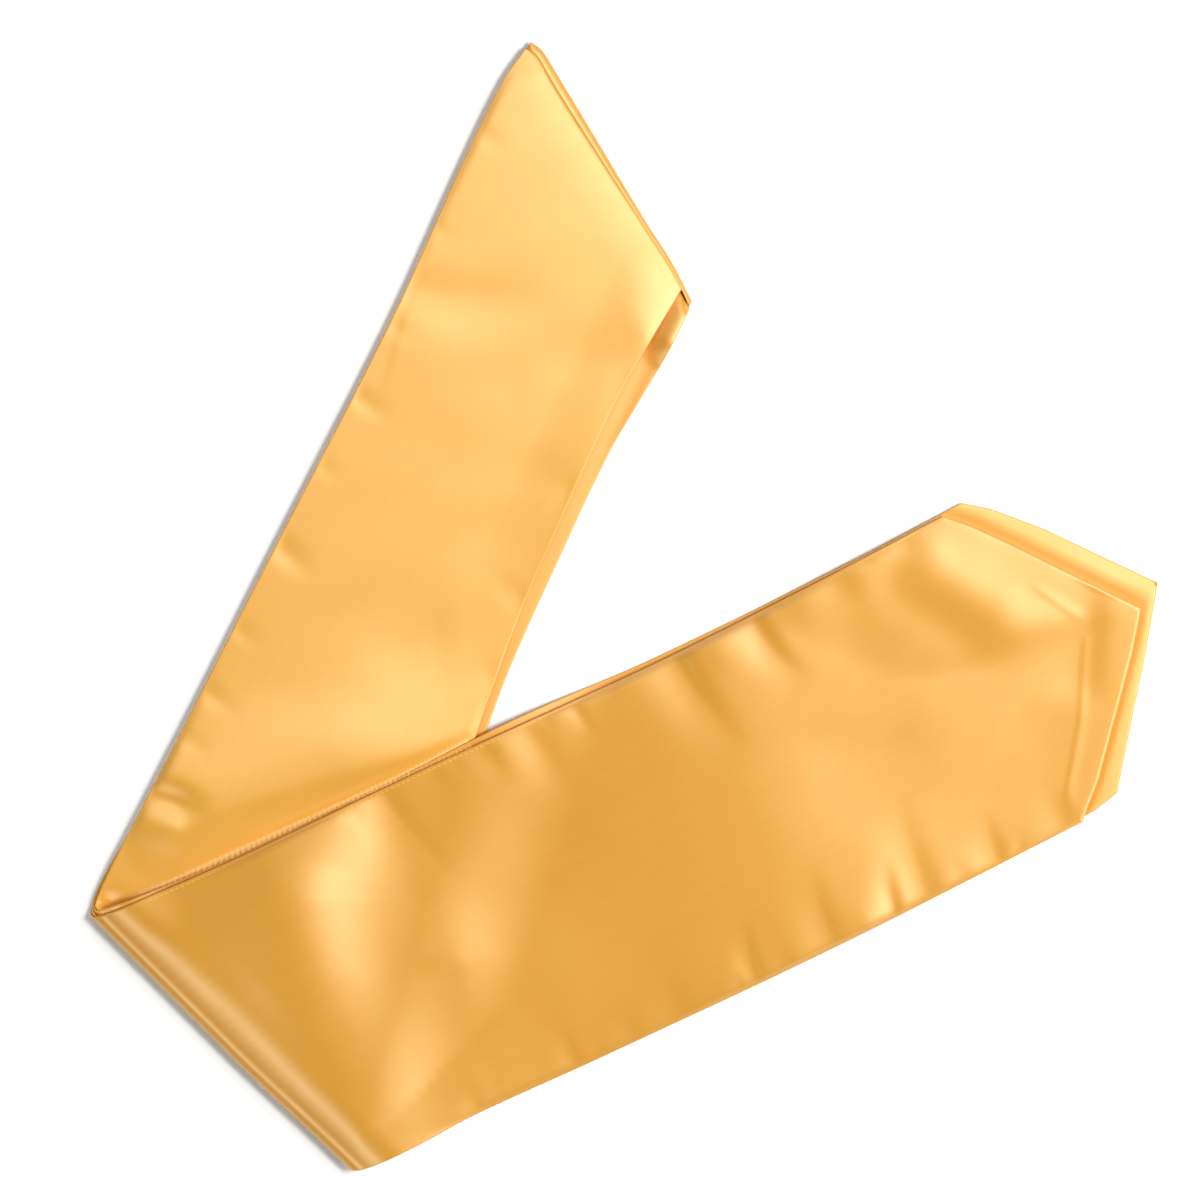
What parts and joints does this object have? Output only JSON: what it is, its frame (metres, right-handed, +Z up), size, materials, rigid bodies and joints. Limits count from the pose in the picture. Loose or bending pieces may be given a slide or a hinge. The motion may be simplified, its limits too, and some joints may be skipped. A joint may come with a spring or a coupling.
{
  "type": "satin graduation stole, laid flat and folded",
  "caption": "Plain gold satin graduation stole with pointed ends, folded at its mitred neck seam and turned back over a slanted fold so that both straps lie on each other.",
  "frame": {"origin": "centre of the bounding box's bottom face, on the surface that the stole lies on", "axes": "+Z up from that surface; +Y along the page of the picture, towards the neck seam's outer corner; +X to the picture's right, towards the points"},
  "size_m": [0.4808, 0.508, 0.0171],
  "materials": {
    "face_satin": "glossy gold polyester satin",
    "lining_satin": "gold satin backing, a little duller"
  },
  "bodies": {
    "root": {"right_strap_face": "face_satin", "right_strap_lining": "lining_satin", "left_strap_lining": "lining_satin", "left_strap_face": "face_satin"}
  },
  "joints": []
}
